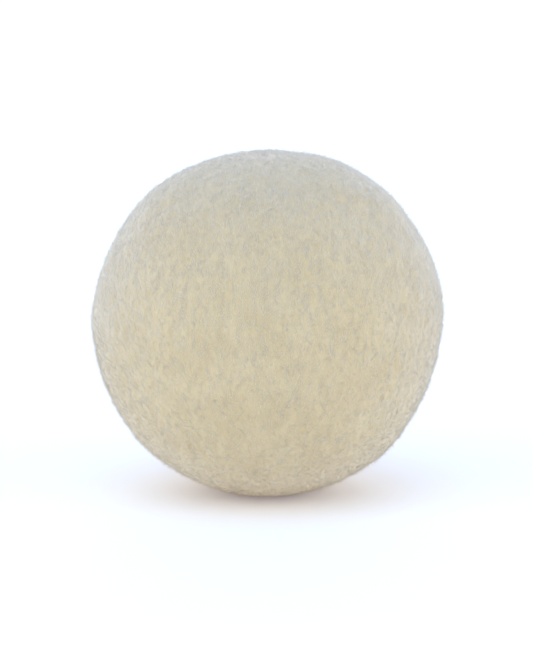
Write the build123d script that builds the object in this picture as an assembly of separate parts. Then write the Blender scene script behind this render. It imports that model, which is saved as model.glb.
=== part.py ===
"""Wool dryer ball: carded wool, wound in layers round a rolled core and felted together.

The pieces are the ones that the ball is felted from. A strip of carded wool is rolled up tight as the
core. More strips are wound round it, each crosswise to the one below, so that it closes the two bare
poles which that strip has left. A cover of fine wool closes the last poles and makes the outside.
The pieces touch face to face. Millimetres, +Z up, origin in the middle of the flat that the ball
rests on.
"""

from build123d import *
from math import cos, radians, sqrt, tan
import os

# The whole ball. It is a little wider than it is high, because it settles while it dries.
ball_width = 75.0
ball_height = 73.7
rest_flat_width = 12.0  # diameter of the flat that the ball rests on

# The cover.
cover_thickness = 3.0  # where it is thinnest, over the flat

# The strips that are wound round the core, from the inside out.
wrap_names = ["first_wrap", "second_wrap", "third_wrap", "fourth_wrap", "fifth_wrap", "sixth_wrap"]
wrap_thickness = 3.25
pole_angle = 24.0  # half angle of the cone that a strip leaves bare at each end of its winding axis
lap_angle = 45.0  # between the radius and the bevel where a strip's two ends meet
lap_gap = 0.12  # between the two bevelled ends

# The core, which is one strip rolled up on itself.
core_strip_thickness = 3.0
core_strip_gap = 0.12  # between one turn of the roll and the next

# Worked out from the sizes above. The outside is a sphere pressed lower and cut off at the flat.
half_width = ball_width / 2
share_below_centre = sqrt(1 - (rest_flat_width / ball_width) ** 2)
half_height = ball_height / (1 + share_below_centre)
centre_height = ball_height - half_height
wound_radius = min(half_width, centre_height) - cover_thickness
core_radius = wound_radius - len(wrap_names) * wrap_thickness
layer_radii = [core_radius + i * wrap_thickness for i in range(len(wrap_names) + 1)]

# The strips are wound about these axes in turn, over and over.
winding_axes = [Vector(1, 0, 0), Vector(0, 1, 0), Vector(0, 0, 1)]


def in_ball(shape, x_dir, z_dir):
    """Turns a shape made about the local Z axis, and puts it at the ball's centre."""
    return Plane(origin=(0, 0, centre_height), x_dir=x_dir, z_dir=z_dir) * shape


def core_roll():
    """A ball with a thin slot, which winds outwards in half circles between the turns of the roll."""
    # The half circles have two centres, this far apart, and each is this much larger than the last.
    shift = core_strip_thickness / 2
    half_plane = Pos(0, 2 * core_radius) * Rectangle(8 * core_radius, 4 * core_radius)
    slot = Sketch()
    half_turns = int((core_radius - core_strip_thickness) / shift)
    for i in range(half_turns):
        radius = (i + 1) * shift
        ring = Circle(radius + core_strip_gap / 2) - Circle(radius - core_strip_gap / 2)
        if i % 2 == 0:
            slot += ring & half_plane
        else:
            slot += Pos(shift, 0) * (ring & mirror(half_plane, Plane.XZ))
    # The strip's outer end is cut straight across, from the last half circle out through the surface.
    end_radius = half_turns * shift
    end_at = -end_radius if half_turns % 2 == 1 else shift + end_radius
    outward = -1 if half_turns % 2 == 1 else 1
    slot += Pos(end_at + outward * core_radius, 0) * Rectangle(2 * core_radius, core_strip_gap)
    roll = Sphere(core_radius) - extrude(slot, amount=2 * core_radius, both=True)
    return in_ball(roll, winding_axes[1], winding_axes[2])


def pole_cones(length):
    """Two cones, point to point along the local Z axis, as a wound strip leaves them bare."""
    width = length * tan(radians(pole_angle))
    cone = Cone(0, width, length, align=(Align.CENTER, Align.CENTER, Align.MIN))
    return cone + Rot(180, 0, 0) * cone


def pole_plugs(inner, outer):
    """The wool that sinks into the two bare poles of the strip below, along the local Z axis."""
    return (Sphere(outer) - Sphere(inner)) & pole_cones(2 * outer)


def lap_cut(inner, outer):
    """The thin sloping cut between a strip's two bevelled ends, on the local +Y side."""
    length = 3 * (outer - inner) / cos(radians(lap_angle))
    return Pos(0, (inner + outer) / 2, 0) * Rot(0, 0, lap_angle) * Box(lap_gap, length, 2 * outer)


def wound_wrap(number):
    """A strip wound once round the ball, sunk into the poles of the strip below."""
    inner, outer = layer_radii[number], layer_radii[number + 1]
    band = Sphere(outer) - Sphere(inner) - pole_cones(2 * outer) - lap_cut(inner, outer)
    if number > 0:
        band += Rot(0, 90, 0) * pole_plugs(layer_radii[number - 1], (inner + outer) / 2)
    return in_ball(band, winding_axes[(number - 1) % 3], winding_axes[number % 3])


def outer_cover():
    """The outside of the ball, sunk into the poles of the last strip."""
    oval = scale(Sphere(half_width), by=(1, 1, half_height / half_width))
    room = 2 * (ball_width + ball_height)
    above_flat = Box(room, room, room, align=(Align.CENTER, Align.CENTER, Align.MIN))
    outside = Pos(0, 0, centre_height) * oval & above_flat
    last_axis = (len(wrap_names) - 1) % 3
    hollow = in_ball(Sphere(wound_radius), winding_axes[last_axis - 1], winding_axes[last_axis])
    plugs = pole_plugs(layer_radii[-2], wound_radius + cover_thickness / 2)
    return outside - hollow + in_ball(plugs, winding_axes[last_axis - 1], winding_axes[last_axis])


os.makedirs("parts", exist_ok=True)
pieces = {"core_roll": core_roll(), "outer_cover": outer_cover()}
for number, name in enumerate(wrap_names):
    pieces[name] = wound_wrap(number)
for name, piece in pieces.items():
    export_step(piece, os.path.join("parts", name + ".step"))
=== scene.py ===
# %% [markdown]
# # A felted wool dryer ball
#
# This ball tumbles with wet laundry. It keeps the cloth apart, so that warm air gets through, and its
# knocking softens the fibres. It is made of nothing but sheep's wool: a rolled core, strips of carded
# wool wound round it crosswise, and a cover of the finest wool, felted together in hot water.
#
# Felt has no threads and no weave. What the eye reads as felt is three things at three sizes: the
# soft lumps of a thing that was shaped by hand, the pebbled skin where the fibres have shrunk
# together, and the fibres themselves, lying matted on the skin or standing off it as a short nap.
# This script makes the three in that order.
#
# The first step loads the frame: the ball as it was designed, piece by piece. Nothing in it is moved.

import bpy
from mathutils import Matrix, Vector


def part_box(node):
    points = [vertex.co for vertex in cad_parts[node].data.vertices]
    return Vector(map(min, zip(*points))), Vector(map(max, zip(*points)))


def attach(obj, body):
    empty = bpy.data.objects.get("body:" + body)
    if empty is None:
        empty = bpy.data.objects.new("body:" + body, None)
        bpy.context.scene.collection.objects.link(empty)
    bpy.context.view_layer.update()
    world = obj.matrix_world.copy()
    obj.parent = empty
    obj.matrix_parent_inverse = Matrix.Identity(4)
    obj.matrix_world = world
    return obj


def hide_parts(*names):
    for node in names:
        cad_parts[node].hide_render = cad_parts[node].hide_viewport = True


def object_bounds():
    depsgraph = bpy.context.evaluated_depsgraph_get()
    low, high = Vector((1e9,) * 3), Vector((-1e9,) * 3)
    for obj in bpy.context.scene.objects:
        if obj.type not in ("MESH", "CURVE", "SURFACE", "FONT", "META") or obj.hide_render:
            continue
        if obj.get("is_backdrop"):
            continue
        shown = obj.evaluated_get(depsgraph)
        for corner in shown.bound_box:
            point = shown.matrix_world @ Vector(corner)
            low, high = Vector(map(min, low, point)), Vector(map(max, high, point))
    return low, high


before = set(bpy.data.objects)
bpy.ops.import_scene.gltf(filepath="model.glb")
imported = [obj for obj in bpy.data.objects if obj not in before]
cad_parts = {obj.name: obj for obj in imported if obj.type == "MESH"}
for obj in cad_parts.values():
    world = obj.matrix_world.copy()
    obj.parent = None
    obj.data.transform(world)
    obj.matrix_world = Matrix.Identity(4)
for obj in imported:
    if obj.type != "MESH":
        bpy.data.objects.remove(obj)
cad_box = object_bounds()
print("pieces in the frame:", ", ".join(sorted(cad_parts)))

# %% Load what the script works with
from math import cos, pi, radians, sin, sqrt

import bmesh
import bpy
from mathutils import Vector

mm = 0.001  # Blender works in metres, and wool is easier to think of in millimetres
print("Blender", bpy.app.version_string)

# %% [markdown]
# ## The ball's sizes
#
# The frame gives the ball's width and height. The one other size is the flat that the ball rests on,
# where the soft wool gives under the ball's own weight. From these three comes the oval that the skin
# follows: its half width, its half height, and how high its centre is above the floor.

# %% Work out the oval
lowest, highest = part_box("outer_cover")
ball_width = highest.x - lowest.x
ball_height = highest.z - lowest.z
rest_flat_width = 12 * mm

half_width = ball_width / 2
half_height = ball_height / (1 + sqrt(1 - (rest_flat_width / ball_width) ** 2))
centre_height = ball_height - half_height
ball_centre = Vector((0, 0, centre_height))
print(f"ball {ball_width / mm:.1f} mm wide, {ball_height / mm:.1f} mm high")

# %% [markdown]
# ## Helpers for node trees
#
# Geometry Nodes and material nodes are both trees: nodes, and links between their sockets. A few small
# helpers keep the rest of the script short. The first adds a node and fills its sockets, with a number
# or with another node's output. The others add a single sum, a mix of two colours, or a noise.

# %% Add a node, and add a sum
def add_node(tree, kind, inputs=None, **settings):
    """Adds a node. inputs gives sockets, by name or by number, a value or another node's output."""
    node = tree.nodes.new(kind)
    for name, value in settings.items():
        setattr(node, name, value)
    for socket, value in (inputs or {}).items():
        if isinstance(value, bpy.types.NodeSocket):
            tree.links.new(value, node.inputs[socket])
        else:
            node.inputs[socket].default_value = value
    return node


def maths(tree, operation, *values):
    """A Math node's output."""
    return add_node(tree, "ShaderNodeMath", dict(enumerate(values)), operation=operation).outputs[0]


def vector_maths(tree, operation, *values, answer="Vector"):
    """A Vector Math node's output. A vector is scaled by the number in its Scale socket."""
    inputs = dict(enumerate(values))
    if operation == "SCALE":
        inputs = {0: values[0], "Scale": values[1]}
    return add_node(tree, "ShaderNodeVectorMath", inputs, operation=operation).outputs[answer]


print("a sum takes one line now, on numbers or on vectors")


# %% Mix two colours, and add a noise
def mixed_colour(tree, share, first, second):
    """The first colour, turned by a share to the second. A Mix node's sockets 6 and 7 take colours."""
    mix = add_node(tree, "ShaderNodeMix", {"Factor": share, 6: first, 7: second}, data_type="RGBA")
    return mix.outputs[2]


def swells(tree, place, size, detail, seed=None, roughness=0.5, distortion=0.0):
    """A noise node whose swells have the given size. Each seed gives it another pattern."""
    scale = 1 / size if isinstance(size, float) else maths(tree, "DIVIDE", 1.0, size)
    inputs = {
        "Vector": place,
        "Scale": scale,
        "Detail": detail,
        "Roughness": roughness,
        "Distortion": distortion,
    }
    if seed is None:
        return add_node(tree, "ShaderNodeTexNoise", inputs)
    return add_node(tree, "ShaderNodeTexNoise", dict(inputs, W=seed), noise_dimensions="4D")


print("a noise is asked for by the size of its swells, not by its scale")

# %% [markdown]
# A Geometry Nodes tree gets a named input for each of its sizes, so that someone can open the file and
# turn the knobs. The same list of sizes is then set on the modifier, by each socket's identifier. The
# result is taken as a plain mesh, because the pieces of the finished ball are meshes and nothing else.

# %% Start and end a tree
def new_tree(name, sizes):
    """Starts a tree with a geometry input and one input per size. Gives the tree and its inputs."""
    tree = bpy.data.node_groups.new(name, "GeometryNodeTree")
    tree.interface.new_socket("Geometry", in_out="INPUT", socket_type="NodeSocketGeometry")
    for label, value in sizes.items():
        kind = "NodeSocketInt" if isinstance(value, int) else "NodeSocketFloat"
        tree.interface.new_socket(label, in_out="INPUT", socket_type=kind).default_value = value
    tree.interface.new_socket("Geometry", in_out="OUTPUT", socket_type="NodeSocketGeometry")
    return tree, tree.nodes.new("NodeGroupInput").outputs


def end_tree(tree, geometry, material):
    """Ends a tree: what was only placed is made real, and gets its material."""
    real = add_node(tree, "GeometryNodeRealizeInstances", {"Geometry": geometry})
    painted = add_node(tree, "GeometryNodeSetMaterial", {"Geometry": real.outputs[0], "Material": material})
    add_node(tree, "NodeGroupOutput", {"Geometry": painted.outputs[0]})


print("every tree starts with its sizes and ends with its material")


# %% Build a piece with a tree
def build_piece(name, tree, sizes, start_mesh):
    """Runs a tree on a mesh, and gives the result as an object with a plain mesh."""
    worker = bpy.data.objects.new(name + "_worker", start_mesh)
    bpy.context.scene.collection.objects.link(worker)
    modifier = worker.modifiers.new("nodes", "NODES")
    modifier.node_group = tree
    for item in tree.interface.items_tree:
        if item.in_out == "INPUT" and item.name in sizes:
            modifier[item.identifier] = sizes[item.name]
    seen = worker.evaluated_get(bpy.context.evaluated_depsgraph_get())
    mesh = bpy.data.meshes.new_from_object(seen)
    bpy.data.objects.remove(worker)
    mesh.name = name
    piece = bpy.data.objects.new(name, mesh)
    bpy.context.scene.collection.objects.link(piece)
    mesh.calc_loop_triangles()
    print(f"{name}: {len(mesh.loop_triangles)} triangles")
    return piece


# %% [markdown]
# ## The grain of the wool
#
# The wool of the cover was wound on too, before it was felted: up the back, over the top and down the
# front. Its fibres still lie mostly that way. So the patterns of the fibres are longer along that path
# than across it. They could follow an unwrapped map, but a ball can't be unwrapped without a seam. A
# pattern in space that is stretched in the two directions other than the winding's axis has the same
# grain, with no seam. At the two ends of the axis it makes the swirl that a wound ball has there.

# %% Set the grain
winding_axis = (1, 0, 0)
grain_stretch = 2.5
grain = (1, 1 / grain_stretch, 1 / grain_stretch)  # places are multiplied by this, which stretches patterns
print(f"patterns are {grain_stretch} times as long along the wool as across it")

# %% [markdown]
# ## The wool's finish
#
# Undyed wool is a warm cream. Its fibres are clear and scaly, so light goes in, scatters, and comes out
# in every direction: there is no gloss, but the edge of the ball looks pale, where the eye looks along the
# nap. The sheen of the Principled shader is made for that. The skin has slow blotches, where one handful
# of wool was yellower than the next, and a fine mesh of matted fibres in the bump. In the colour, the
# hollows between the fibres are painted darker, as painted shade.
#
# The fibres that are real geometry get plain colours in a few tints. Each is too thin to carry a pattern,
# and the mix of tints does what a pattern would. They are paler than the skin, which shows between them
# and lies in their shade: the skin's colours are the wool's cream, painted darker than the fibres' tints
# as shade.

# %% Write down the wool's colours
# The skin's colours are partly the wool's cream and partly painted shade: darker than the fibre tints.
cream = (0.58, 0.47, 0.27, 1)
pale_cream = (0.62, 0.52, 0.325, 1)
# Painted shade: the deeper cream that the skin turns to in the hollows between the fibre lines.
painted_shade_cream = (0.495, 0.385, 0.20, 1)
fibre_tints = {
    "pale": (0.752, 0.73, 0.652, 1),
    "cream": (0.728, 0.688, 0.597, 1),
    "honey": (0.705, 0.645, 0.525, 1),
}
skin_sheen = 0.9
fibre_sheen = 0.5
print("the skin has 3 colours, and the fibres have", len(fibre_tints))


# %% Set what every wool has in common
def wool_shader(tree, sheen):
    """A matt Principled shader with a white sheen, linked to the output."""
    shader = add_node(tree, "ShaderNodeBsdfPrincipled", {
        "Roughness": 1.0,
        "Specular IOR Level": 0.1,
        "Sheen Weight": sheen,
        "Sheen Roughness": 0.45,
        "Sheen Tint": (1.0, 1.0, 1.0, 1),
    })
    add_node(tree, "ShaderNodeOutputMaterial", {"Surface": shader.outputs[0]})
    return shader


def new_material(name):
    """An empty material and its tree."""
    material = bpy.data.materials.new(name)
    material.use_nodes = True
    material.node_tree.nodes.clear()
    return material, material.node_tree


print("every wool is matt, with a white sheen")

# %% [markdown]
# The contours of a noise are thin lines that wander and never cross, much as combed fibres do. Four sets
# of them, each with its own spacing, lie over each other. Where they cross, they look matted.

# %% Lay the matted fibres as thin curved lines
# Each set has the size of its swells, how many lines there are to a swell, and a seed.
line_sets = [
    (1.6 * mm, 9.0, 1.0),
    (1.1 * mm, 7.0, 2.0),
    (2.4 * mm, 14.0, 3.0),
    (0.8 * mm, 5.0, 4.0),
]
line_sharpness = 5.0  # the higher, the thinner a line is next to the gap beside it


def fibre_lines(tree, place, swell_size, lines_per_swell, seed):
    """Thin wandering lines, 1 on a line and 0 between."""
    swell = swells(tree, place, swell_size, 2.0, seed, roughness=0.6, distortion=0.8)
    contour = maths(tree, "PINGPONG", maths(tree, "MULTIPLY", swell.outputs[0], lines_per_swell), 0.5)
    return maths(tree, "POWER", maths(tree, "MULTIPLY", contour, 2.0), line_sharpness)


def matted_lines(tree, place):
    """All sets of lines over each other."""
    lines = fibre_lines(tree, place, *line_sets[0])
    for line_set in line_sets[1:]:
        lines = maths(tree, "MAXIMUM", lines, fibre_lines(tree, place, *line_set))
    return lines


print(len(line_sets), "sets of fibre lines")

# %% Set the felt's own sizes
blotch_ends = (0.3, 0.72)  # the noise values where a blotch is all cream and all pale cream
hollow_shade = 0.2  # how far the colour turns to the painted shade between the fibre lines
lock_size = 0.55 * mm  # how wide a lock of fibres is that has felted together
lock_height = 1.4  # how high a lock stands, next to a fibre's height of 1
bump_height = 0.08 * mm
bump_strength = 0.5
print(f"locks of {lock_size / mm:.2f} mm, and a bump of {bump_height / mm:.2f} mm")


# %% Make the felt
def felt_colour(tree, place, lines, blotch_size):
    """Slow blotches from cream to pale cream, and painted shade, a deeper cream, between the fibre lines.
    """
    blotch = swells(tree, place, blotch_size, 3.0, roughness=0.55)
    blotches = add_node(tree, "ShaderNodeValToRGB", {"Fac": blotch.outputs[0]})
    for stop, position, colour in zip(blotches.color_ramp.elements, blotch_ends, (cream, pale_cream)):
        stop.position = position
        stop.color = colour
    # Painted shade: the hollows between the fibre lines turn towards a deeper cream.
    hollow = maths(tree, "MULTIPLY", maths(tree, "SUBTRACT", 1.0, lines), hollow_shade)
    return mixed_colour(tree, hollow, blotches.outputs[0], painted_shade_cream)


def felt_material(name, blotch_size):
    """Matted wool: blotches of colour, a mesh of fine fibres, and their bump."""
    material, tree = new_material(name)
    shader = wool_shader(tree, skin_sheen)
    place = add_node(tree, "ShaderNodeTexCoord").outputs["Object"]
    along_grain = add_node(tree, "ShaderNodeMapping", {"Vector": place, "Scale": grain}).outputs[0]
    lines = matted_lines(tree, along_grain)
    tree.links.new(felt_colour(tree, place, lines, blotch_size), shader.inputs["Base Color"])
    locks = swells(tree, along_grain, lock_size, 3.0).outputs[0]
    relief = maths(tree, "ADD", lines, maths(tree, "MULTIPLY", locks, lock_height))
    bump = add_node(tree, "ShaderNodeBump", {
        "Height": relief, "Strength": bump_strength, "Distance": bump_height,
    })
    tree.links.new(bump.outputs[0], shader.inputs["Normal"])
    return material


felt = felt_material("cover_felt", blotch_size=9 * mm)
strip_wool = felt_material("strip_wool", blotch_size=5 * mm)
print("materials:", felt.name, strip_wool.name)


# %% Make the tints of the single fibres
def fibre_material(name, tint):
    """One plain tint of wool for fibres that are real geometry."""
    material, tree = new_material(name)
    wool_shader(tree, fibre_sheen).inputs["Base Color"].default_value = tint
    return material


fibre_wool = {name: fibre_material("fibre_wool_" + name, tint) for name, tint in fibre_tints.items()}
print("fibre tints:", ", ".join(fibre_wool))

# %% [markdown]
# ## The skin
#
# A sphere made in rings would crowd its faces at the poles. A cube cut into small squares and blown out
# to a ball has no poles, and if each square is first widened by the tangent of its angle, they come out
# nearly equal. Geometry Nodes can then push every point out or in along its own direction, by the sum of
# three noises and a few spots: the slow lumps of a thing rolled between two hands, the low swells and the
# pebbles of shrunk wool, and the places where the ball bulges or was pressed. Last, whatever reaches
# below the floor is held at it.

# %% Write down where the ball bulges, and where it was pressed while it dried
# Each spot has a direction from the centre, how far it stands out there, and how wide it is.
uneven_spots = [
    (Vector((0.50, -0.10, 0.86)), 0.9 * mm, radians(26)),
    (Vector((0.88, -0.15, 0.42)), 0.85 * mm, radians(34)),
    (Vector((-0.60, -0.10, 0.80)), 0.35 * mm, radians(20)),
    (Vector((0.05, -0.25, 0.97)), -0.5 * mm, radians(26)),
    (Vector((0.90, 0.00, -0.40)), -0.5 * mm, radians(26)),
    (Vector((-0.93, 0.00, -0.36)), -0.5 * mm, radians(26)),
    (Vector((-0.90, -0.20, 0.40)), -0.3 * mm, radians(26)),
    (Vector((0.10, 0.95, 0.25)), -0.8 * mm, radians(32)),
    (Vector((0.55, 0.80, -0.20)), 0.5 * mm, radians(30)),
    (Vector((-0.60, 0.75, -0.25)), -0.5 * mm, radians(28)),
]
print(len(uneven_spots), "uneven spots")


# %% Write the reliefs of the skin
def noise_relief(tree, place, size, height, detail, seed):
    """A rolling relief, on average zero: swells of the given size and about the given height."""
    noise = swells(tree, place, size, detail, seed).outputs[0]
    return maths(tree, "MULTIPLY", maths(tree, "SUBTRACT", noise, 0.5), height)


def spot_relief(tree, outward, direction, height, width):
    """One bulge or dent, highest in its own direction and gone at its width from there."""
    towards = vector_maths(tree, "DOT_PRODUCT", outward, direction.normalized(), answer="Value")
    return add_node(tree, "ShaderNodeMapRange", {
        "Value": towards, "From Min": cos(width), "From Max": 1.0, "To Min": 0.0, "To Max": height,
    }, interpolation_type="SMOOTHERSTEP").outputs[0]


def skin_relief(tree, given, smooth, outward):
    """How far each point of the smooth oval is pushed out, by all the noises and spots together."""
    along_grain = vector_maths(tree, "MULTIPLY", smooth, grain)
    relief = 0.0
    for name, place, detail, salt in (
        ("Lump", smooth, 1.0, 0), ("Swell", along_grain, 2.0, 3), ("Pebble", along_grain, 2.0, 4),
    ):
        seed = maths(tree, "ADD", given["Seed"], salt)
        noise = noise_relief(tree, place, given[name + " Size"], given[name + " Height"], detail, seed)
        relief = maths(tree, "ADD", relief, noise)
    for direction, height, width in uneven_spots:
        relief = maths(tree, "ADD", relief, spot_relief(tree, outward, direction, height, width))
    return relief


print("reliefs: lumps, swells, pebbles and spots")


# %% Build the tree of the skin
def blown_out_cube(tree, given):
    """A cube of small squares, and for each of its points the direction in which it is blown out."""
    cube = add_node(tree, "GeometryNodeMeshCube", {"Size": (2, 2, 2)})
    for side in ("Vertices X", "Vertices Y", "Vertices Z"):
        tree.links.new(given["Points per Side"], cube.inputs[side])
    corner = add_node(tree, "GeometryNodeInputPosition").outputs[0]
    widened = vector_maths(tree, "TANGENT", vector_maths(tree, "SCALE", corner, pi / 4))
    return cube.outputs[0], vector_maths(tree, "NORMALIZE", widened)


def skin_tree(sizes):
    """The cube as an oval with its relief, held at the floor."""
    tree, given = new_tree("felted_skin", sizes)
    cube, outward = blown_out_cube(tree, given)
    halves = add_node(tree, "ShaderNodeCombineXYZ", {
        0: given["Half Width"], 1: given["Half Width"], 2: given["Half Height"],
    }).outputs[0]
    smooth = vector_maths(tree, "MULTIPLY", outward, halves)
    relief = skin_relief(tree, given, smooth, outward)
    raised = vector_maths(tree, "ADD", smooth, vector_maths(tree, "SCALE", outward, relief))
    centre = add_node(tree, "ShaderNodeCombineXYZ", {2: given["Centre Height"]}).outputs[0]
    placed = vector_maths(tree, "ADD", raised, centre)
    held = vector_maths(tree, "MAXIMUM", placed, (-1, -1, 0))  # a limit for the height alone
    moved = add_node(tree, "GeometryNodeSetPosition", {"Geometry": cube, "Position": held})
    shaded = add_node(tree, "GeometryNodeSetShadeSmooth", {"Geometry": moved.outputs[0]})
    end_tree(tree, shaded.outputs[0], felt)
    return tree


print("the skin's tree takes its sizes from the frame")

# %% Blow out the skin
nap_depth = 0.15 * mm  # the ball's size is measured over the nap, so the skin lies a little inside
skin_sizes = {
    "Half Width": half_width - nap_depth,
    "Half Height": half_height - nap_depth,
    "Centre Height": centre_height,
    "Points per Side": 124,
    "Lump Size": 34 * mm,
    "Lump Height": 1.4 * mm,
    "Swell Size": 2.2 * mm,
    "Swell Height": 0.174 * mm,
    "Pebble Size": 1.15 * mm,
    "Pebble Height": 0.725 * mm,
    "Seed": 2,
}
empty_mesh = bpy.data.meshes.new("nothing_yet")
cover = build_piece("felt_cover", skin_tree(skin_sizes), skin_sizes, empty_mesh)

# %% [markdown]
# ## From points to fibres
#
# All fibres grow in the same way. Points are scattered over the skin, more of them in a tuft than between
# tufts. Each point gets a short line. It could turn any way round, but then the felt would look like
# velvet or grass. So a line lies along the winding, swayed to one side by an angle that its neighbours
# share, which makes locks, and by a smaller angle of its own. A noise bends the line. Last it gets a
# thin three-sided tube that tapers, because at this size nobody can see that a tube isn't round. The
# tubes are closed at both ends, so they are good solid meshes.

# %% Draw a random number for each fibre
own_salts = {"stray": 1, "lean": 2, "length": 3, "bend": 4}


def own_random(tree, given, use, low, high):
    """A random number for each fibre. Each use has its own salt, so that no two follow each other."""
    return add_node(tree, "FunctionNodeRandomValue", {
        "Min": low, "Max": high, "Seed": maths(tree, "ADD", given["Seed"], own_salts[use]),
    }).outputs[1]


print("each fibre has random numbers for its", ", ".join(own_salts))


# %% Say how thick the fibres grow, and which way they lie
tuft_ends = (0.3, 0.7)  # the noise values between two tufts and in the middle of one


def fullness(tree, given):
    """How many fibres grow at a place, next to the mean: more in a tuft, fewer between tufts."""
    place = add_node(tree, "GeometryNodeInputPosition").outputs[0]
    tuft = swells(tree, vector_maths(tree, "MULTIPLY", place, grain), given["Tuft Size"], 1.0)
    return add_node(tree, "ShaderNodeMapRange", {
        "Value": tuft.outputs[0],
        "From Min": tuft_ends[0],
        "From Max": tuft_ends[1],
        "To Min": maths(tree, "SUBTRACT", 1.0, given["Tuft Contrast"]),
        "To Max": maths(tree, "ADD", 1.0, given["Tuft Contrast"]),
    }).outputs[0]


def lying_angle(tree, given):
    """The angle from the winding to the fibre: a sway that its neighbours share, and a stray of its own."""
    place = add_node(tree, "GeometryNodeInputPosition").outputs[0]
    lock = swells(tree, place, given["Lock Size"], 1.0).outputs[0]
    sway = maths(tree, "MULTIPLY", maths(tree, "SUBTRACT", lock, 0.5), given["Sway Angle"])
    stray = maths(tree, "MULTIPLY", own_random(tree, given, "stray", -0.5, 0.5), given["Stray Angle"])
    return maths(tree, "ADD", sway, stray)


print("fibres grow in tufts and lie in locks, by noises that end at", tuft_ends)


# %% Scatter lines over the skin
def turned_by(tree, rotation, axis, angle):
    """A rotation, turned further about an axis of its own."""
    turn = add_node(tree, "FunctionNodeAxisAngleToRotation", {"Axis": axis, "Angle": angle})
    return add_node(tree, "FunctionNodeRotateRotation", {
        "Rotation": rotation, "Rotate By": turn.outputs[0],
    }, rotation_space="LOCAL").outputs[0]


def scatter_lines(tree, given, start, end, lean):
    """A line on each point of the skin, from start to end, which is turned, leaned and given its length."""
    line = add_node(tree, "GeometryNodeCurvePrimitiveLine", {"Start": start, "End": end})
    template = add_node(tree, "GeometryNodeResampleCurve", {
        "Curve": line.outputs[0], "Count": given["Points per Fibre"],
    })
    points = add_node(tree, "GeometryNodeDistributePointsOnFaces", {
        "Mesh": given["Geometry"],
        "Density": maths(tree, "MULTIPLY", given["Fibres per Square Metre"], fullness(tree, given)),
        "Seed": given["Seed"],
    })
    standing = add_node(tree, "FunctionNodeAxesToRotation", {
        "Primary Axis": points.outputs["Normal"],
        "Secondary Axis": vector_maths(tree, "CROSS_PRODUCT", winding_axis, points.outputs["Normal"]),
    }, primary_axis="Z", secondary_axis="Y").outputs[0]
    lying = turned_by(tree, standing, (0, 0, 1), lying_angle(tree, given))
    share = own_random(tree, given, "length", given["Shortest Share"], given["Longest Share"])
    lines = add_node(tree, "GeometryNodeInstanceOnPoints", {
        "Points": points.outputs["Points"],
        "Instance": template.outputs[0],
        "Rotation": turned_by(tree, lying, (1, 0, 0), lean),
        "Scale": maths(tree, "MULTIPLY", given["Length"], share),
    })
    own = add_node(tree, "GeometryNodeStoreNamedAttribute", {
        "Geometry": lines.outputs[0],
        "Name": "own_number",
        "Value": own_random(tree, given, "bend", 0.0, 100.0),
    }, domain="INSTANCE")
    return add_node(tree, "GeometryNodeRealizeInstances", {"Geometry": own.outputs[0]}).outputs[0]


print("lines are placed as instances first, and made real before they are bent")


# %% Bend the lines, and turn them into tapered fibres
taper_start = 0.2  # the share of its length after which a fibre gets thinner


def wander(tree, given, lines, distance):
    """Bends the lines: each point is moved by a noise, and each line has its own part of that noise."""
    place = add_node(tree, "GeometryNodeInputPosition").outputs[0]
    own = add_node(tree, "GeometryNodeInputNamedAttribute", {"Name": "own_number"}).outputs["Attribute"]
    noise = swells(tree, place, given["Curl Size"], 1.0, own)
    push = vector_maths(tree, "SUBTRACT", noise.outputs["Color"], (0.5, 0.5, 0.5))
    return add_node(tree, "GeometryNodeSetPosition", {
        "Geometry": lines, "Offset": vector_maths(tree, "SCALE", push, distance),
    }).outputs[0]


def fibre_tubes(tree, given, lines):
    """Three-sided tubes along the lines, held above the floor, thinner towards the end."""
    thickness = given["Thickness"]
    place = add_node(tree, "GeometryNodeInputPosition").outputs[0]
    lowest_fibre = add_node(tree, "ShaderNodeCombineXYZ", {0: -1.0, 1: -1.0, 2: thickness}).outputs[0]
    held = add_node(tree, "GeometryNodeSetPosition", {
        "Geometry": lines, "Position": vector_maths(tree, "MAXIMUM", place, lowest_fibre),
    })
    along = add_node(tree, "GeometryNodeSplineParameter").outputs["Factor"]
    taper = add_node(tree, "ShaderNodeMapRange", {
        "Value": along,
        "From Min": taper_start,
        "From Max": 1.0,
        "To Min": 1.0,
        "To Max": given["Tip Share"],
    }).outputs[0]
    profile = add_node(tree, "GeometryNodeCurvePrimitiveCircle", {
        "Resolution": 3, "Radius": maths(tree, "DIVIDE", thickness, 2.0),
    })
    tubes = add_node(tree, "GeometryNodeCurveToMesh", {
        "Curve": held.outputs[0], "Profile Curve": profile.outputs[0], "Scale": taper, "Fill Caps": True,
    })
    return add_node(tree, "GeometryNodeSetShadeSmooth", {"Geometry": tubes.outputs[0]}).outputs[0]


print(f"a tube has three sides and two caps, and gets thinner after {taper_start:.0%} of its length")


# %% Grow several pieces of fibres, in the tints
fibre_pieces = []
# In a tuft where pale wool is thick, honey wool is thin, and cream wool hardly changes.
tuft_side = {"pale": 1.0, "cream": 0.2, "honey": -1.0}


def grow(name, count, make_tree, sizes):
    """Grows several pieces of fibres over the skin, each with its own seed, and takes the tints in turn."""
    tints = list(fibre_wool)
    for number in range(count):
        tint = tints[number % len(tints)]
        own_sizes = dict(sizes, Seed=sizes["Seed"] + number)
        own_sizes["Tuft Contrast"] *= tuft_side[tint]
        piece_name = f"{name}_{tint}_{number // len(tints) + 1}"
        tree = make_tree(piece_name, own_sizes, fibre_wool[tint])
        fibre_pieces.append(build_piece(piece_name, tree, own_sizes, cover.data))


print("tints in turn:", ", ".join(fibre_wool))

# %% [markdown]
# ## The matted fibres
#
# Most fibres of felt lie on it, shrunk fast at both ends. Thin bumps could show them, and they do in the
# material, but a few thousand real ones catch the light and break up the smooth edge of the bump. Each
# line starts flat on the skin, wanders far, and is then laid back on the skin: the nearest place on the
# skin is found for each of its points, and the line arches over it a little, with its ends dipped in.

# %% Build the tree of the matted fibres
end_dip = 0.3  # how deep the two ends lie in the skin, as a share of the rise in the middle


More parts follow.
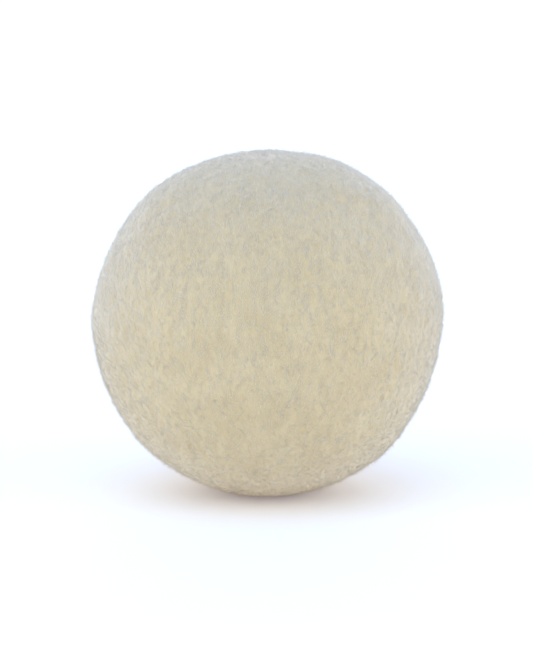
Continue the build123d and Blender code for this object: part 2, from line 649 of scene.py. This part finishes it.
def matted_tree(name, sizes, material):
    """Long fibres that lie on the skin, wander, and dip into it at both ends."""
    tree, given = new_tree(name, sizes)
    lines = scatter_lines(tree, given, (0, -0.5, 0), (0, 0.5, 0), 0.0)
    bent = wander(tree, given, lines, given["Curl"])
    skin = add_node(tree, "GeometryNodeProximity", {"Geometry": given["Geometry"]}, target_element="FACES")
    centre = add_node(tree, "ShaderNodeCombineXYZ", {2: given["Centre Height"]}).outputs[0]
    outward = vector_maths(tree, "NORMALIZE", vector_maths(tree, "SUBTRACT", skin.outputs[0], centre))
    along = add_node(tree, "GeometryNodeSplineParameter").outputs["Factor"]
    arch = maths(tree, "SINE", maths(tree, "MULTIPLY", along, pi))
    dipped_arch = maths(tree, "SUBTRACT", maths(tree, "MULTIPLY", arch, 1 + end_dip), end_dip)
    rise = maths(tree, "MULTIPLY", given["Rise"], dipped_arch)
    laid = vector_maths(tree, "ADD", skin.outputs[0], vector_maths(tree, "SCALE", outward, rise))
    matted = add_node(tree, "GeometryNodeSetPosition", {"Geometry": bent, "Position": laid}).outputs[0]
    end_tree(tree, fibre_tubes(tree, given, matted), material)
    return tree


print(f"the ends dip in by {end_dip:.0%} of the rise")

# %% Grow the matted fibres
grow("matted_fibres", 3, matted_tree, {
    "Fibres per Square Metre": 0.07e6,
    "Points per Fibre": 8,
    "Length": 4.2 * mm,
    "Shortest Share": 0.45,
    "Longest Share": 1.3,
    "Thickness": 0.046 * mm,
    "Tip Share": 0.5,
    "Curl": 2.4 * mm,
    "Curl Size": 2.2 * mm,
    "Rise": 0.10 * mm,
    "Stray Angle": radians(90),
    "Sway Angle": radians(120),
    "Lock Size": 4.0 * mm,
    "Tuft Size": 1.2 * mm,
    "Tuft Contrast": 0.0,
    "Centre Height": centre_height,
    "Seed": 40,
})

# %% [markdown]
# ## The nap
#
# A wool fibre that has come loose at one end stands off the skin, leans over and curls. Hair particles
# could grow it, but Geometry Nodes give real meshes. The nap is what makes the ball look soft: it hides
# the skin's small bumps, and at the rim it stands out as a thin fuzz. Each line starts upright on the
# skin and leans over, most of them nearly flat. It is bent more and more towards its tip.

# %% Build the tree of the nap
def nap_tree(name, sizes, material):
    """Short fibres that stand off the skin, lean and curl."""
    tree, given = new_tree(name, sizes)
    lean = own_random(tree, given, "lean", given["Least Lean"], given["Most Lean"])
    lines = scatter_lines(tree, given, (0, 0, 0), (0, 0, 1), lean)
    along = add_node(tree, "GeometryNodeSplineParameter").outputs["Factor"]
    bent = wander(tree, given, lines, maths(tree, "MULTIPLY", given["Curl"], along))
    end_tree(tree, fibre_tubes(tree, given, bent), material)
    return tree


print("a nap fibre curls most at its tip")

# %% Grow the nap
grow("nap", 7, nap_tree, {
    "Fibres per Square Metre": 0.785e6,
    "Points per Fibre": 3,
    "Length": 1.15 * mm,
    "Shortest Share": 0.45,
    "Longest Share": 1.3,
    "Thickness": 0.046 * mm,
    "Tip Share": 0.25,
    "Curl": 0.6 * mm,
    "Curl Size": 0.7 * mm,
    "Least Lean": radians(45),
    "Most Lean": radians(87),
    "Stray Angle": radians(60),
    "Sway Angle": radians(260),
    "Lock Size": 2.2 * mm,
    "Tuft Size": 1.15 * mm,
    "Tuft Contrast": 0.8,
    "Seed": 10,
})

# %% [markdown]
# ## The inside of the cover
#
# The cover is a shell, and the last strip of wool fills it. Nobody sees its inner wall, but a solid that
# is cut open or printed needs one. The frame's own cover has the right inner wall, so a copy of that
# wall is joined to the skin. The copy's loose triangles are merged first, and its outer wall is taken off.

# %% Copy the inner wall
touching = 0.001 * mm  # corners nearer than this are one corner


def inner_wall_of(node):
    """A copy of a hollow piece's inner wall, which is all that no point of the outer wall is joined to."""
    wall = bmesh.new()
    wall.from_mesh(node.data)
    bmesh.ops.remove_doubles(wall, verts=wall.verts, dist=touching)
    outermost = max(wall.verts, key=lambda vert: vert.co.x)
    outer, waiting = {outermost}, [outermost]
    while waiting:
        vert = waiting.pop()
        for edge in vert.link_edges:
            other = edge.other_vert(vert)
            if other not in outer:
                outer.add(other)
                waiting.append(other)
    bmesh.ops.delete(wall, geom=list(outer), context="VERTS")
    mesh = bpy.data.meshes.new("inner_wall")
    wall.to_mesh(mesh)
    wall.free()
    return mesh


inner_wall = inner_wall_of(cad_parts["outer_cover"])
print("inner wall:", len(inner_wall.polygons), "faces")

# %% Join the inner wall to the skin
whole_cover = bmesh.new()
whole_cover.from_mesh(cover.data)
whole_cover.from_mesh(inner_wall)
whole_cover.to_mesh(cover.data)
whole_cover.free()
print("the cover has", len(cover.data.polygons), "faces now")

# %% [markdown]
# ## Tie the pieces to the frame
#
# The skin and the fibres stand for the frame's plain cover, and ride on the ball's one body. The cover
# is a stuffed piece, firm all through. The core and the strips inside keep their frame shapes and get wool.

# %% Tie them
for piece in [cover] + fibre_pieces:
    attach(piece, "root")
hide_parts("outer_cover")

for name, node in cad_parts.items():
    if name != "outer_cover":
        node.data.materials.clear()
        node.data.materials.append(strip_wool)
print("pieces that ride on the ball:", 1 + len(fibre_pieces))

# %% [markdown]
# ## The floor
#
# The ball stands on a wide sheet of white paper over a lit table, as small goods do in a studio. The
# table's light comes through the paper, so the paper glows a little. That glow is bluish, which keeps the
# ball's shadow grey, because the light that the ball throws back on the paper is warm.

# %% Lay the floor
floor_mesh = bpy.data.meshes.new("floor")
floor_shape = bmesh.new()
bmesh.ops.create_circle(floor_shape, cap_ends=True, segments=96, radius=8.0)
floor_shape.to_mesh(floor_mesh)
floor_shape.free()
floor = bpy.data.objects.new("floor", floor_mesh)
bpy.context.scene.collection.objects.link(floor)
floor.visible_shadow = False  # the table's light goes through it
floor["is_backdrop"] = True
print(f"floor {floor.dimensions.x:.0f} m across")

# %% Give the floor its paper
paper, paper_tree = new_material("floor_paper")
paper_shader = add_node(paper_tree, "ShaderNodeBsdfPrincipled", {
    "Base Color": (0.96, 0.92, 0.80, 1),
    "Roughness": 0.9,
    "Specular IOR Level": 0.2,
    "Emission Color": (0.51, 0.58, 1.0, 1),
    "Emission Strength": 0.175,
})
add_node(paper_tree, "ShaderNodeOutputMaterial", {"Surface": paper_shader.outputs[0]})
floor_mesh.materials.append(paper)
print("floor material:", paper.name)

# %% [markdown]
# ## The light
#
# Pale wool on white paper needs light from all round, or it turns grey. The sky gives most of it, bluish
# overhead and nearly white at the horizon. Soft suns add the rest, because a sun's light is as strong
# behind the ball as in front of it: one cool key light from high in front, a little from the left, three
# warm ones low round the ball, and the yellow light of the table from below.

# %% Set the sky
def studio_sky(high_colour, low_colour):
    """A sky that is one colour overhead and another at the horizon."""
    sky = bpy.data.worlds.new("studio")
    sky.use_nodes = True
    tree = sky.node_tree
    direction = add_node(tree, "ShaderNodeTexCoord").outputs["Generated"]
    upward = add_node(tree, "ShaderNodeSeparateXYZ", {0: direction}).outputs[2]
    colour = mixed_colour(tree, upward, low_colour, high_colour)
    tree.links.new(colour, tree.nodes["Background"].inputs["Color"])
    return sky


bpy.context.scene.world = studio_sky(high_colour=(0.53, 0.78, 1.38, 1), low_colour=(1.10, 1.06, 1.04, 1))
print("sky:", bpy.context.scene.world.name)


# %% Set the soft lights
def soft_light(name, strength, colour, spread, towards):
    """A sun so broad that its shadows have no edge. It shines along the direction that it is given."""
    light = bpy.data.lights.new(name, "SUN")
    light.energy = strength
    light.color = colour
    light.angle = spread
    lamp = bpy.data.objects.new(name, light)
    lamp.rotation_euler = Vector(towards).to_track_quat("-Z", "Y").to_euler()
    bpy.context.scene.collection.objects.link(lamp)


soft_light("key_light", 0.48, (0.84, 0.96, 1.0), radians(60), (0.15, 0.5, -0.8))
for turn in (-66, 66, 180):
    around = radians(turn)
    slightly_down = (-sin(around), cos(around), -0.12)
    soft_light(f"low_light_{turn % 360}", 0.89, (1.0, 0.935, 0.72), radians(60), slightly_down)
soft_light("table_light", 0.76, (1.0, 0.66, 0.0), radians(120), (0, 0, 1))

# %% [markdown]
# ## The camera
#
# A long lens from a metre away shows the ball almost without perspective, as a catalogue does. It looks
# along +Y and down by ten degrees. Blender's usual view transform would make the white paper grey, so the
# plain one is set.

# %% Set the camera
def set_camera(elevation, distance, lens, aim):
    """A camera that looks along +Y, and down by its elevation."""
    camera = bpy.data.objects.new("camera", bpy.data.cameras.new("camera"))
    back = Vector((0, -cos(elevation), sin(elevation)))
    camera.location = aim + back * distance
    camera.rotation_euler = (-back).to_track_quat("-Z", "Y").to_euler()
    camera.data.lens = lens
    camera.data.clip_start = 0.01
    camera.data.clip_end = 50.0
    bpy.context.scene.collection.objects.link(camera)
    bpy.context.scene.camera = camera
    return camera


camera = set_camera(elevation=radians(10), distance=1.0, lens=260.0, aim=ball_centre)
bpy.context.scene.view_settings.view_transform = "Standard"
print(f"camera with a {camera.data.lens:.0f} mm lens")

# %% [markdown]
# ## Measure and finish
#
# The boxes of the frame and of what is seen are measured, and how much each side has grown is printed.

# %% Write the sizes down, and finish
seen_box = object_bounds()
cad_size = cad_box[1] - cad_box[0]
seen_size = seen_box[1] - seen_box[0]
print("grown by, mm:", [round((seen - cad) / mm, 2) for seen, cad in zip(seen_size, cad_size)])
